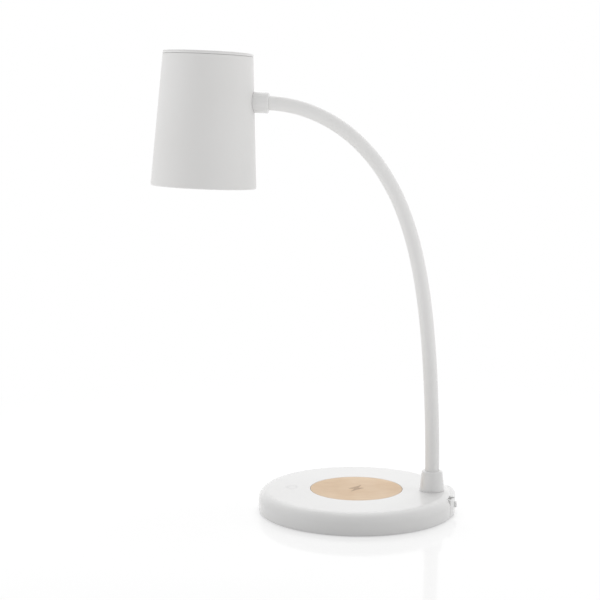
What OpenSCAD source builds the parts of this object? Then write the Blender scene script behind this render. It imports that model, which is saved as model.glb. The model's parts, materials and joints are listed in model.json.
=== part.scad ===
// Desk lamp: a round charging base, a gooseneck and a tapered shade.
// Millimetres. +Z is up and the origin is the centre of the base's underside.
// The gooseneck rises on the +X side and carries the shade towards -X.

/* [Base] */
// Diameter of the base
base_d = 160; // [158:1:166]
// Height of the base's top above the table
base_h = 17.5; // [17.5:0.1:18.5]
// Radius of the rounded top edge
base_edge_r = 8; // [6:0.5:8]
// Wall thickness of the base's shell
base_wall = 2.2; // [2:0.1:2.4]
// Diameter of the wood disc let into the top
inlay_d = 75; // [64:1:76]
// Thickness of the wood disc
inlay_t = 2; // [1.6:0.1:2]
// Diameter of the non-slip pad
pad_d = 142; // [138:1:146]
// Thickness of the non-slip pad
pad_t = 1.2; // [1:0.1:1.2]

/* [Rear panel] */
// Half of the angle that the panel covers on the rim
panel_half_angle = 17; // [17:0.5:19]
// How far the panel stands proud of the rim
panel_proud = 0.8; // [0.4:0.1:1]
// Diameter of the push button
button_d = 5; // [4.4:0.2:5.2]
// How far the button stands out of the panel
button_proud = 1.6; // [1.4:0.1:2]
// Travel of the push button
button_travel = 1.2; // [0.6:0.1:1.2]

/* [Gooseneck] */
// Distance of the stem from the base's centre
stem_x = 61.8; // [61:0.1:62]
// Height where the gooseneck leaves its foot collar
arc_z = 34; // [33:0.5:36]
// Length of the gooseneck between collar and ferrule
arc_len = 359; // [340:1:380]
// Lean of the gooseneck's lower part, in degrees
arc_lean = 0.6; // [0.2:0.1:2]
// Where the even bend of the upper part begins, as a share of the length
bend_start = 0.61; // [0.4:0.01:0.7]
// How softly the bend begins, as a share of the length
bend_ease = 0.26; // [0.15:0.01:0.4]
// Outer diameter of the soft sleeve
sleeve_d = 11.4; // [10.8:0.1:11.8]
// Outer diameter of the steel hose inside it
hose_d = 8.4; // [8:0.1:8.4]
// Diameter of the lamp cable
cable_d = 3.4; // [3:0.1:3.6]

/* [Shade] */
// Diameter of the shade's mouth
shade_mouth_d = 85; // [85:0.5:90]
// Diameter of the shade's top
shade_top_d = 72; // [69:0.5:76]
// Height of the shade
shade_h = 107; // [105:1:115]
// Tilt of the shade, mouth away from the stem
shade_tilt = 2.5; // [0:0.1:5]
// Wall thickness of the shade
shade_wall = 2; // [1.8:0.1:2.2]
// Height of the neck above the mouth
neck_z = 69; // [68:0.5:72]
// Length of the neck ferrule that shows
neck_len = 12; // [11:0.5:14]
// Diameter of the neck ferrule
neck_d = 16.5; // [15:0.5:17]

/* [Hidden] */
$fn = 72;
LINKS = 10; // rigid lengths that stand for the wound hose

// Clearances
fit_gap = 0.05; // close fit
slip_gap = 0.1; // parts that are pushed together
free_gap = 0.3; // parts that move past each other

// Base, from the table up
base_r = base_d / 2;
inlay_r = inlay_d / 2;
pad_r = pad_d / 2;
skirt_z = 0.5; // lower rim of the shell
skirt_edge_r = 0.8;
inlay_gap = 0.4;
inlay_floor_t = 1.8;
inlay_rim = 2.2; // ledge of the shell round the inlay's floor
shell_in_r = base_r - base_wall;
shell_in_z = base_h - base_wall; // underside of the shell's top
inlay_z = base_h - inlay_t;
inlay_floor_z = inlay_z - inlay_floor_t;
cover_r = shell_in_r - 0.4;
cover_z = pad_t;
cover_top = cover_z + 2;
cover_rib = [base_r - 6, base_r - 4.8, 1.8]; // inner and outer radius, height

// Screws: shank radius, head radius, head height
big_screw = [1.45, 2.7, 1.4];
small_screw = [1.1, 2.1, 1.2];
screw_gap = 0.05; // in the boss that the screw bites
hole_gap = 0.2; // in the part that the screw holds

// Places of the base's screws, their lengths and the radii of their bosses
cover_screw_r = 66;
cover_screw_l = 9;
COVER_SCREWS = [for (a = [45:90:315]) cover_screw_r * [cos(a), sin(a)]];
ballast_screw_r = 50;
ballast_screw_l = 6;
BALLAST_SCREWS = [for (a = [75, 150, 210, 285]) ballast_screw_r * [cos(a), sin(a)]];
big_boss_r = 3.4;
tray_reach = 30;
tray_screw_l = 2.6;
tray_boss_r = 2.6;
TRAY_SCREWS = [for (s = [-1, 1]) [0, tray_reach * s]];
board_screw_l = 7;
board_boss_r = 2.8;
BOARD_SCREWS = [[43, 0], [45, 30], [45, -30]];

// Ballast plate
ballast_r = 73;
ballast_z = cover_top + 0.2;
ballast_top = ballast_z + 3;
ballast_bay = [34, 40]; // the board's bay: where it starts along X, and its half width

// Main board at the back
board_z = 4.6;
board_top = board_z + 1.6;
board_r = 72.6;
board_x = 37.5;
board_half_w = 37;
// Chips: corner, then width, depth, height. Capacitors: centre, then radius, height.
CHIPS = [[48, 8, 7, 7, 1.2], [50, -12, 5, 6, 1.6], [51, 24, 7.5, 7.5, 4]];
CAPACITORS = [[59, 28, 3.15, 7], [56, -22, 3.15, 7], [64, -22, 2.5, 5.5]];

// Charging coil under the inlay
coil_r = [10, 22];
coil_z = inlay_floor_z - 0.1;
coil_t = 1.2;
ferrite_r = 24;
ferrite_t = 0.8;
tray_r = 26;
tray_t = 1.2;
tray_arm = 4; // half width of the arms, and the radius of their ends
tray_floor_top = coil_z - coil_t - ferrite_t;
tray_z = tray_floor_top - tray_t;

// Touch key under the top, on the shade's side
touch_x = -53;
touch_r = 7;
touch_t = 0.3;

// Rear panel and what sits behind it
panel_r = base_r + panel_proud;
panel_in_r = base_r - 4;
panel_z = cover_top + 0.1;
panel_top = 14.2; // top of the panel's outer wall
panel_edge_r = 0.8;
panel_groove_z = 13; // the groove behind the outer wall starts here
panel_lip = [76.8, 15.5]; // lip behind the groove: outer radius, top
panel_opening_top = 15.8; // the shell is open up to here
panel_gap_angle = 0.12;
panel_tab_angle = 2.6;
pocket_x = base_r - 3; // the sockets' faces stand behind this plane
pocket_top = 12.2;
usb_a = [13.2, 5.7, 10.5]; // width, height, depth
usb_a_y = 14.2;
usb_a_wall = 0.4;
usb_a_tongue = [8, 1.8, 1]; // depth, thickness, space beside it
usb_c = [9, 3.3, 7.3];
usb_c_y = 0.5;
usb_c_wall = 0.35;
usb_c_tongue = [5.6, 6.6, 0.7]; // depth, width, thickness
socket_gap = 0.2;
button_y = -10;
pocket_y = [button_y - 4.5, usb_a_y + usb_a[0] / 2 + free_gap]; // sides of the pocket behind the panel
button_z = board_top + 2.3;
button_face_x = sqrt(panel_r * panel_r - button_y * button_y);
button_tip_x = button_face_x + button_proud;
button_flange = [1.2, 0.8]; // thickness, and how far it is wider than the cap
button_edge_r = 0.8;
button_flange_x = pocket_x - 0.4 - button_flange[0];
switch_size = [6.6, 7, 4.4];
switch_x = 65;
button_back_x = switch_x + switch_size[0] + button_travel + 0.7;
plunger_r = 1.3;
plunger_bore_x = switch_x + 1;
plunger_x = plunger_bore_x + button_travel + free_gap;

// Stem fitting through the shell, and the collar over it
fitting_r = 5.5;
fitting_flange = [8.4, 2]; // radius, thickness
fitting_top = arc_z - 4;
fitting_tube_r = 5.9;
fitting_z = 9.6;
fitting_step_z = 11.6; // the hose's end rests here
washer = [8, 1]; // radius, thickness
nut_flats = 15;
nut_t = 3.5;
collar_foot_r = 10.2;
collar_top_r = 8.5;
collar_edge_r = 2;

// Hose
hose_r = hose_d / 2;
hose_bore_r = 2.3;
ball_r = hose_r - fit_gap; // round end of a link, centred on its joint
socket_r = hose_r + fit_gap; // hollow end of the next link
hose_end_r = hose_r + fit_gap; // straight ends, pressed into the fittings
hose_end_bore_r = hose_bore_r + fit_gap;
hose_end_fit_r = hose_end_r + fit_gap;
hose_lap = 0.3;
hose_neck_l = 10;
sleeve_r = sleeve_d / 2;
sleeve_in_r = hose_r + 0.2;
sleeve_in_neck = 4; // length that the ferrule holds
sleeve_bore_r = sleeve_r + 0.15;
cable_r = cable_d / 2;
cable_bore_r = 2.6;

// Shade, in its own frame: mouth at z = 0, neck towards +x
mouth_r = shade_mouth_d / 2;
top_r = shade_top_d / 2;
cap_seam_z = shade_h - 2.6; // the fine seam under the cap
cap_seam = 0.25;
cap_edge_r = 1.1;
cap_ledge_z = shade_h - 7;
cap_ledge = [2.4, 1.4]; // depth, thickness
boss_x = 33; // flat seat of the neck nut
boss_r = 9;
stub_r = 5;
stub_x = 29;
neck_nut_flats = 13;
neck_nut_t = 3;
LUG_ANGLES = [60, 180, 300];
lug_r = 33.5;
lug_z = 44;
lug_h = 8;
lug_boss_r = 4;
lug_rib = [8, 5]; // from the boss to the shade's wall: length, thickness
sink_t = 4;
sink_screw_l = 10;
sink_r = 36.5;
fin = [1.6, 12]; // thickness, height
fin_r = 27.5;
fin_pitch = 6;
sink_z = lug_z - sink_t - 0.02;
led_board_r = 26;
led_board_t = 1.6;
led_board_z = sink_z - led_board_t;
led = [2.8, 3.5, 0.8];
LED_RINGS = [[9, 6], [18, 12]]; // radius, count
LED_SCREWS = [[0, 13.5], [0, -13.5]];
led_screw_l = 4;
diffuser_z = 15;
diffuser_t = 2.2;
diffuser_r = 39.2;
reflector_wall = 1.2;
reflector_top_r = 27.5;
reflector_foot_r = 38.6;
ring_z = 11.6;
ring_in_r = 37.4;

// The gooseneck's centreline: circular links, each tangent to the next.
end_heading = 90 - shade_tilt;
link_len = arc_len / LINKS;
// Nearly straight up to bend_start, then an even bend.
function eased(u) = u - bend_start + sqrt(pow(u - bend_start, 2) + pow(bend_ease, 2));
function bent(u) = (eased(u) - eased(0)) / (eased(1) - eased(0));
// Heading of the centreline where link k starts, from +Z towards -X.
function heading(k) = k == 0 ? 0 : arc_lean + (end_heading - arc_lean) * bent(k / LINKS);
function turn(k) = heading(k + 1) - heading(k);
function bend_r(k) = link_len / (turn(k) * PI / 180);
function along(a) = [-sin(a), 0, cos(a)];
function outward(a) = [cos(a), 0, sin(a)];
// Where link k starts. Link k's centre of bend lies inside the arc.
function joint_at(k) = k == 0 ? [stem_x, 0, arc_z] : bend_centre(k - 1) + bend_r(k - 1) * outward(heading(k));
function bend_centre(k) = joint_at(k) - bend_r(k) * outward(heading(k));

// Head: where the shade's own frame lies
neck_r = mouth_r + (top_r - mouth_r) * neck_z / shade_h;
neck_end_x = neck_r + neck_len;
function tilted(p) = [p[0] * cos(shade_tilt) + p[2] * sin(shade_tilt), p[1],
                      p[2] * cos(shade_tilt) - p[0] * sin(shade_tilt)];
neck_end = joint_at(LINKS);
head_at = neck_end - tilted([neck_end_x, 0, neck_z]);
function in_head(p) = head_at + tilted(p);
function shade_r(z) = mouth_r + (top_r - mouth_r) * z / shade_h;

// Centreline of the sleeve and the cable: each entry is [point, heading].
STEPS = 4; // rings on each link
ARC_PATH = [for (k = [0:LINKS - 1]) for (i = [0:STEPS - 1])
    let (a = heading(k) + turn(k) * i / STEPS) [bend_centre(k) + bend_r(k) * outward(a), a]];
SLEEVE_PATH = concat(
    [[[stem_x, 0, fitting_top + 0.1], 0]],
    ARC_PATH,
    [[neck_end, end_heading]],
    [[neck_end + sleeve_in_neck * along(end_heading), end_heading]]);
cable_bend_r = 12;
cable_drop_x = 12;
cable_end_z = sink_z + 0.1; // just above the LED board
CABLE_TURN = [for (i = [0:6]) let (b = 15 * i)
    [in_head([cable_drop_x + cable_bend_r - cable_bend_r * sin(b), 0,
              neck_z - cable_bend_r + cable_bend_r * cos(b)]), end_heading + b]];
CABLE_PATH = concat(
    [[[stem_x, 0, board_top], 0]],
    ARC_PATH,
    [[neck_end, end_heading]],
    CABLE_TURN,
    [[in_head([cable_drop_x, 0, cable_end_z]), end_heading + 90]]);

// Ring of rectangular section about the Z axis.
module ring(r_in, r_out, z0, z1) {
    rotate_extrude() translate([r_in, z0]) square([r_out - r_in, z1 - z0]);
}

// Screw that points up, head below z = 0.
module screw(size, length) {
    cylinder(r = size[0], h = length);
    translate([0, 0, -size[2]]) cylinder(r = size[1], h = size[2]);
}

// Half section with a rounded top corner and a rounded foot.
module housing_section(r, edge_r, foot_r, z0, z1) {
    translate([0, z0]) square([r - foot_r, z1 - edge_r - z0]);
    translate([0, z0]) square([r - edge_r, z1 - z0]);
    translate([0, z0 + foot_r]) square([r, z1 - edge_r - z0 - foot_r]);
    translate([r - edge_r, z1 - edge_r]) circle(edge_r);
    translate([r - foot_r, z0 + foot_r]) circle(foot_r);
}

// ---- Base ----

module shell_section() {
    difference() {
        union() {
            difference() {
                housing_section(base_r, base_edge_r, skirt_edge_r, skirt_z, base_h);
                housing_section(shell_in_r, base_edge_r - base_wall, 0.1, -skirt_z, shell_in_z);
            }
            translate([0, inlay_floor_z]) square([inlay_r + inlay_rim, base_h - inlay_floor_z - 0.5]);
        }
        translate([0, inlay_z]) square([inlay_r + inlay_gap, inlay_t + 1]);
    }
}

module rim_sector(half_angle, r_in, r_out, z0, z1) {
    rotate([0, 0, -half_angle]) rotate_extrude(angle = 2 * half_angle) translate([r_in, z0])
        square([r_out - r_in, z1 - z0]);
}

module boss(p, r, z0, top, hole_r) {
    translate([p[0], p[1], z0]) difference() {
        cylinder(r = r, h = top - z0 + 0.3);
        translate([0, 0, -1]) cylinder(r = hole_r, h = top - z0 + 0.5);
    }
}

module base_shell() {
    color("white") {
        difference() {
            rotate_extrude() shell_section();
            translate([stem_x, 0, inlay_floor_z]) cylinder(r = fitting_r + slip_gap, h = base_h);
            rim_sector(panel_half_angle + panel_gap_angle, panel_in_r - 1, base_r + 2,
                panel_z - free_gap, panel_opening_top);
            rim_sector(panel_half_angle + panel_gap_angle, shell_in_r - 1, base_r + 2, -1, panel_z);
        }
        for (p = COVER_SCREWS) boss(p, big_boss_r, cover_top, shell_in_z, big_screw[0] + screw_gap);
        for (p = BALLAST_SCREWS) boss(p, big_boss_r, ballast_top, shell_in_z, big_screw[0] + screw_gap);
        for (p = BOARD_SCREWS) boss(p, board_boss_r, board_top, shell_in_z, small_screw[0] + screw_gap);
        for (p = TRAY_SCREWS) boss(p, tray_boss_r, tray_floor_top, inlay_floor_z, small_screw[0] + screw_gap);
    }
}

module wood_inlay() {
    color("burlywood") translate([0, 0, inlay_z]) cylinder(r = inlay_r, h = inlay_t);
}

module bottom_cover() {
    color("gainsboro") difference() {
        union() {
            translate([0, 0, cover_z]) cylinder(r = cover_r, h = cover_top - cover_z);
            difference() {
                ring(cover_rib[0], cover_rib[1], cover_z + 1, cover_top + cover_rib[2]);
                rim_sector(panel_half_angle + 6, base_r - 8, base_r, cover_top, base_h);
            }
        }
        for (p = COVER_SCREWS) translate([p[0], p[1], 0]) {
            cylinder(r = big_screw[0] + hole_gap, h = base_h);
            cylinder(r = big_screw[1] + hole_gap, h = cover_z + big_screw[2]);
        }
    }
}

module non_slip_pad() {
    color("dimgray") cylinder(r = pad_r, h = pad_t);
}

module cover_screws() {
    color("silver") for (p = COVER_SCREWS)
        translate([p[0], p[1], cover_z + big_screw[2]]) screw(big_screw, cover_screw_l);
}

module ballast_plate() {
    color("slategray") difference() {
        translate([0, 0, ballast_z]) cylinder(r = ballast_r, h = ballast_top - ballast_z);
        translate([ballast_bay[0], -ballast_bay[1], 0]) cube([base_r, 2 * ballast_bay[1], base_h]);
        for (p = COVER_SCREWS) translate([p[0], p[1], 0]) cylinder(r = 4, h = base_h);
        for (p = BALLAST_SCREWS) translate([p[0], p[1], 0]) {
            cylinder(r = big_screw[0] + hole_gap, h = base_h);
            cylinder(r = big_screw[1] + hole_gap, h = ballast_z + big_screw[2]);
        }
    }
}

module ballast_screws() {
    color("silver") for (p = BALLAST_SCREWS)
        translate([p[0], p[1], ballast_z + big_screw[2]]) screw(big_screw, ballast_screw_l);
}

module charging_coil() {
    color("peru") ring(coil_r[0], coil_r[1], coil_z - coil_t, coil_z);
}

module ferrite_sheet() {
    color("dimgray") translate([0, 0, tray_floor_top]) cylinder(r = ferrite_r, h = ferrite_t);
}

module coil_tray() {
    color("ivory") difference() {
        union() {
            translate([0, 0, tray_z]) cylinder(r = tray_r, h = tray_t);
            ring(ferrite_r + 0.2, tray_r, tray_z + 0.5, coil_z - 0.3);
            translate([-tray_arm, -tray_reach, tray_z]) cube([2 * tray_arm, 2 * tray_reach, tray_t]);
            for (p = TRAY_SCREWS) translate([p[0], p[1], tray_z]) cylinder(r = tray_arm, h = tray_t);
        }
        for (p = TRAY_SCREWS) translate([p[0], p[1], 0]) cylinder(r = small_screw[0] + hole_gap, h = base_h);
    }
}

module tray_screws() {
    color("silver") for (p = TRAY_SCREWS) translate([p[0], p[1], tray_z]) screw(small_screw, tray_screw_l);
}

module touch_electrode() {
    color("goldenrod") translate([touch_x, 0, shell_in_z - touch_t]) cylinder(r = touch_r, h = touch_t);
}

module main_board() {
    color("darkgreen") difference() {
        intersection() {
            translate([0, 0, board_z]) cylinder(r = board_r, h = board_top - board_z);
            translate([board_x, -board_half_w, 0]) cube([base_r, 2 * board_half_w, base_h]);
        }
        for (p = BOARD_SCREWS) translate([p[0], p[1], 0]) cylinder(r = small_screw[0] + hole_gap, h = base_h);
    }
}

module board_components() {
    color("darkslategray") {
        for (c = CHIPS) translate([c[0], c[1], board_top]) cube([c[2], c[3], c[4]]);
        for (c = CAPACITORS) translate([c[0], c[1], board_top]) cylinder(r = c[2], h = c[3]);
    }
}

module board_screws() {
    color("silver") for (p = BOARD_SCREWS) translate([p[0], p[1], board_z]) screw(small_screw, board_screw_l);
}

// Upright opening along X with round ends, width along Y.
module slot_x(w, h, x0, length) {
    translate([x0, 0, 0]) rotate([0, 90, 0]) {
        for (s = [-1, 1]) translate([0, s * (w - h) / 2, 0]) cylinder(r = h / 2, h = length);
        translate([-h / 2, -(w - h) / 2, 0]) cube([h, w - h, length]);
    }
}

module usb_a_socket() {
    face_x = pocket_x - socket_gap;
    color("silver") translate([face_x - usb_a[2], usb_a_y - usb_a[0] / 2, board_top]) {
        difference() {
            cube([usb_a[2], usb_a[0], usb_a[1]]);
            translate([2, usb_a_wall, usb_a_wall])
                cube([usb_a[2], usb_a[0] - 2 * usb_a_wall, usb_a[1] - 2 * usb_a_wall]);
        }
        translate([1.5, usb_a_tongue[2], usb_a[1] / 2 + 0.3])
            cube([usb_a_tongue[0], usb_a[0] - 2 * usb_a_tongue[2], usb_a_tongue[1]]);
    }
}

module usb_c_socket() {
    face_x = pocket_x - socket_gap;
    color("silver") translate([0, usb_c_y, board_top + usb_c[1] / 2]) difference() {
        slot_x(usb_c[0], usb_c[1], face_x - usb_c[2], usb_c[2]);
        difference() {
            slot_x(usb_c[0] - 2 * usb_c_wall, usb_c[1] - 2 * usb_c_wall, face_x - usb_c[2] + 1, usb_c[2]);
            translate([face_x - usb_c[2], -usb_c_tongue[1] / 2, -usb_c_tongue[2] / 2]) cube(usb_c_tongue);
        }
    }
}

// Half section of the panel: an outer wall with round edges from the shell's lower rim up, a groove on
// top and a lip inside the shell.
module panel_section() {
    edge_r = panel_edge_r;
    groove_r = panel_r - 2 * edge_r;
    translate([panel_in_r, panel_z]) square([panel_r - panel_in_r - edge_r, panel_groove_z - panel_z]);
    translate([shell_in_r, skirt_z]) square([panel_r - edge_r - shell_in_r, panel_groove_z - skirt_z]);
    translate([panel_r - edge_r, skirt_z + edge_r]) circle(edge_r);
    translate([groove_r, skirt_z + edge_r]) square([2 * edge_r, panel_top - skirt_z - 2 * edge_r]);
    translate([panel_r - edge_r, panel_top - edge_r]) circle(edge_r);
    translate([panel_in_r, panel_z]) square([panel_lip[0] - panel_in_r, panel_lip[1] - panel_z]);
}

module rear_panel() {
    color("whitesmoke") difference() {
        union() {
            rotate([0, 0, -panel_half_angle]) rotate_extrude(angle = 2 * panel_half_angle) panel_section();
            rim_sector(panel_half_angle + panel_tab_angle, panel_in_r - 0.6, shell_in_r - slip_gap,
                panel_z + 0.2, base_h - base_edge_r - 0.5);
        }
        // Pocket for the sockets and the switch.
        translate([0, pocket_y[0], 0]) cube([pocket_x, pocket_y[1] - pocket_y[0], pocket_top]);
        translate([pocket_x - 1, usb_a_y - usb_a[0] / 2 - socket_gap, board_top - socket_gap])
            cube([10, usb_a[0] + 2 * socket_gap, usb_a[1] + 2 * socket_gap]);
        translate([0, usb_c_y, board_top + usb_c[1] / 2])
            slot_x(usb_c[0] + 2 * socket_gap, usb_c[1] + 2 * socket_gap, pocket_x - 1, 10);
        translate([pocket_x - 1, button_y, button_z]) rotate([0, 90, 0])
            cylinder(r = button_d / 2 + free_gap, h = 10);
    }
}

module power_button() {
    cap_r = button_d / 2;
    edge_r = button_edge_r;
    color("lightgray") translate([0, button_y, button_z]) rotate([0, 90, 0]) rotate_extrude() {
        translate([0, button_back_x]) square([cap_r, button_tip_x - edge_r - button_back_x]);
        translate([0, button_tip_x - edge_r - 0.1]) square([cap_r - edge_r, edge_r + 0.1]);
        translate([cap_r - edge_r, button_tip_x - edge_r]) circle(edge_r);
        translate([0, button_flange_x]) square([cap_r + button_flange[1], button_flange[0]]);
    }
}

module switch_plunger() {
    color("dimgray") translate([plunger_x, button_y, button_z]) rotate([0, 90, 0])
        cylinder(r = plunger_r, h = button_back_x - plunger_x);
}

module push_switch() {
    color("black") difference() {
        translate([switch_x, button_y - switch_size[1] / 2, board_top]) cube(switch_size);
        translate([plunger_bore_x, button_y, button_z]) rotate([0, 90, 0])
            cylinder(r = plunger_r + free_gap, h = switch_size[0]);
    }
}

// ---- Stem ----

module stem_fitting() {
    flange_top = base_h + fitting_flange[1];
    color("silver") translate([stem_x, 0, 0]) difference() {
        union() {
            translate([0, 0, fitting_z]) cylinder(r = fitting_r, h = base_h - fitting_z + 0.5);
            translate([0, 0, base_h]) cylinder(r = fitting_flange[0], h = fitting_flange[1]);
            translate([0, 0, flange_top - 0.5])
                cylinder(r = fitting_tube_r, h = fitting_top - flange_top + 0.5);
        }
        cylinder(r = cable_bore_r, h = base_h);
        translate([0, 0, fitting_step_z]) cylinder(r = hose_end_fit_r, h = arc_z);
    }
}

module stem_washer() {
    color("silver") translate([stem_x, 0, 0])
        ring(fitting_r + slip_gap, washer[0], shell_in_z - washer[1], shell_in_z);
}

module stem_nut() {
    color("silver") translate([stem_x, 0, shell_in_z - washer[1] - nut_t]) difference() {
        rotate([0, 0, 30]) cylinder(r = nut_flats / 2 / cos(30), h = nut_t, $fn = 6);
        translate([0, 0, -1]) cylinder(r = fitting_r + fit_gap, h = nut_t + 2);
    }
}

module stem_collar() {
    shoulder_z = arc_z - collar_edge_r;
    color("white") translate([stem_x, 0, 0]) rotate_extrude() difference() {
        union() {
            polygon([[0, base_h], [collar_foot_r, base_h], [collar_top_r, shoulder_z], [0, shoulder_z]]);
            translate([0, shoulder_z - 1]) square([collar_top_r - collar_edge_r, collar_edge_r + 1]);
            translate([collar_top_r - collar_edge_r, shoulder_z]) circle(collar_edge_r);
        }
        translate([0, base_h - 1]) square([sleeve_bore_r, arc_z]);
        translate([0, base_h - 1]) square([fitting_tube_r + 0.2, fitting_top - base_h + 1.05]);
        translate([0, base_h - 1]) square([fitting_flange[0] + slip_gap, fitting_flange[1] + 1.1]);
    }
}

// ---- Gooseneck ----

// One rigid length of the hose: a hollow seat where it starts, a round end where the next one turns on it.
module hose_link(k) {
    end = joint_at(k + 1);
    end_a = heading(k + 1);
    color("lightsteelblue") difference() {
        union() {
            translate(bend_centre(k)) rotate([90, 0, 0]) rotate([0, 0, heading(k)])
                rotate_extrude(angle = turn(k)) translate([bend_r(k), 0]) difference() {
                    circle(hose_r);
                    circle(hose_bore_r);
                }
            if (k == 0) translate([stem_x, 0, 0])
                ring(hose_end_bore_r, hose_end_r, fitting_step_z, arc_z + hose_lap);
            if (k < LINKS - 1) translate(end) sphere(ball_r);
            if (k == LINKS - 1) translate(end) rotate([0, -end_a, 0])
                ring(hose_end_bore_r, hose_end_r, -hose_lap, hose_neck_l);
        }
        if (k > 0) translate(joint_at(k)) sphere(socket_r);
        if (k < LINKS - 1) translate(end) rotate([0, -end_a, 0]) translate([0, 0, -ball_r - 0.5])
            cylinder(r = hose_bore_r + 0.3, h = 2 * ball_r + 1);
    }
}

module hose_link_0() { hose_link(0); }
module hose_link_1() { hose_link(1); }
module hose_link_2() { hose_link(2); }
module hose_link_3() { hose_link(3); }
module hose_link_4() { hose_link(4); }
module hose_link_5() { hose_link(5); }
module hose_link_6() { hose_link(6); }
module hose_link_7() { hose_link(7); }
module hose_link_8() { hose_link(8); }
module hose_link_9() { hose_link(9); }

// Corners of the rings of radius r along a path of [point, heading] entries.
function path_rings(path, r, sides) = [for (e = path) for (j = [0:sides - 1])
    let (b = 360 * j / sides) e[0] + r * cos(b) * outward(e[1]) + r * sin(b) * [0, 1, 0]];

// Soft tube swept along a path, open inside when r_in is above 0.
module swept_tube(path, r_out, r_in, sides) {
    n = len(path);
    outer = path_rings(path, r_out, sides);
    inner = path_rings(path, r_in, sides);
    first_in = n * sides;
    last = (n - 1) * sides;
    skin = [for (i = [0:n - 2]) for (j = [0:sides - 1])
        let (a = i * sides + j, b = i * sides + (j + 1) % sides)
        each [[a, b, b + sides], [a, b + sides, a + sides]]];
    lining = [for (f = skin) [f[0] + first_in, f[2] + first_in, f[1] + first_in]];
    ends = [for (j = [0:sides - 1]) let (m = (j + 1) % sides) each [
        [j, first_in + j, first_in + m], [j, first_in + m, m],
        [last + j, last + m, first_in + last + m], [last + j, first_in + last + m, first_in + last + j]]];
    plugs = [[for (j = [sides - 1:-1:0]) j], [for (j = [0:sides - 1]) last + j]];
    if (r_in > 0) polyhedron(concat(outer, inner), [for (f = concat(skin, lining, ends)) [f[0], f[2], f[1]]]);
    else polyhedron(outer, [for (f = concat(skin, plugs)) [for (i = [len(f) - 1:-1:0]) f[i]]]);
}

module gooseneck_sleeve() {
    color("white") swept_tube(SLEEVE_PATH, sleeve_r, sleeve_in_r, 28);
}

module lamp_cable() {
    color("gray") swept_tube(CABLE_PATH, cable_r, 0, 10);
}

// ---- Head ----

// Places a part that is drawn in the shade's own frame.
module head() {
    translate(head_at) rotate([0, shade_tilt, 0]) children();
}

// Solid cone of the shade's outer face, from z0 to z1, grown by gap.
module shade_cone(z0, z1, gap) {
    translate([0, 0, z0]) cylinder(r1 = shade_r(z0) + gap, r2 = shade_r(z1) + gap, h = z1 - z0);
}

module shade_section() {
    lip_r = shade_wall / 2;
    ledge_r = shade_r(cap_ledge_z) - shade_wall;
    polygon([[mouth_r, lip_r], [shade_r(cap_seam_z), cap_seam_z],
        [shade_r(cap_seam_z) - shade_wall, cap_seam_z], [mouth_r - shade_wall, lip_r]]);
    translate([mouth_r - lip_r, lip_r]) circle(lip_r);
    translate([ledge_r - cap_ledge[0], cap_ledge_z - cap_ledge[1]]) square([cap_ledge[0] + 1, cap_ledge[1]]);
}

module shade() {
    color("white") head() difference() {
        union() {
            rotate_extrude() shade_section();
            intersection() {
                union() {
                    translate([boss_x, 0, neck_z]) rotate([0, 90, 0]) cylinder(r = boss_r, h = mouth_r);
                    for (a = LUG_ANGLES) rotate([0, 0, a]) {
                        translate([lug_r, 0, lug_z]) cylinder(r = lug_boss_r, h = lug_h);
                        translate([lug_r, -lug_rib[1] / 2, lug_z]) cube([lug_rib[0], lug_rib[1], lug_h]);
                    }
                }
                shade_cone(lug_z - 1, cap_seam_z, -shade_wall / 2);
            }
        }
        translate([boss_x - 1, 0, neck_z]) rotate([0, 90, 0]) cylinder(r = stub_r + slip_gap, h = mouth_r);
        for (a = LUG_ANGLES) rotate([0, 0, a]) translate([lug_r, 0, lug_z - 1])
            cylinder(r = big_screw[0] + screw_gap, h = lug_h - 0.5);
    }
}

module shade_cap() {
    rim_z = cap_seam_z + cap_seam;
    rim_r = shade_r(rim_z);
    spigot_r = shade_r(cap_seam_z) - shade_wall - 0.15;
    color("white") head() rotate_extrude() {
        translate([0, rim_z]) square([rim_r - cap_edge_r, shade_h - rim_z]);
        translate([0, rim_z]) square([rim_r, shade_h - rim_z - cap_edge_r]);
        translate([rim_r - cap_edge_r, shade_h - cap_edge_r]) circle(cap_edge_r);
        translate([spigot_r - 1.6, cap_ledge_z]) square([1.6, rim_z - cap_ledge_z + 0.5]);
    }
}

module neck_ferrule() {
    edge_r = 1.2;
    ferrule_r = neck_d / 2;
    start_x = neck_r - 4;
    color("white") head() translate([0, 0, neck_z]) difference() {
        union() {
            difference() {
                rotate([0, 90, 0]) rotate_extrude() {
                    translate([0, start_x]) square([ferrule_r, neck_end_x - edge_r - start_x]);
                    translate([0, start_x]) square([ferrule_r - edge_r, neck_end_x - start_x]);
                    translate([ferrule_r - edge_r, neck_end_x - edge_r]) circle(edge_r);
                }
                translate([0, 0, -neck_z]) shade_cone(neck_z - 20, neck_z + 20, fit_gap);
            }
            translate([stub_x, 0, 0]) rotate([0, 90, 0]) cylinder(r = stub_r, h = neck_r + 1 - stub_x);
        }
        rotate([0, 90, 0]) {
            cylinder(r = cable_bore_r, h = neck_end_x);
            translate([0, 0, neck_end_x - hose_neck_l - slip_gap])
                cylinder(r = hose_end_fit_r, h = hose_neck_l + 1);
            translate([0, 0, neck_end_x - sleeve_in_neck - slip_gap])
                cylinder(r = sleeve_bore_r, h = neck_len);
        }
    }
}

module neck_nut() {
    color("silver") head() translate([boss_x - neck_nut_t, 0, neck_z]) rotate([0, 90, 0]) difference() {
        cylinder(r = neck_nut_flats / 2 / cos(30), h = neck_nut_t, $fn = 6);
        translate([0, 0, -1]) cylinder(r = stub_r + fit_gap, h = neck_nut_t + 2);
    }
}

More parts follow.
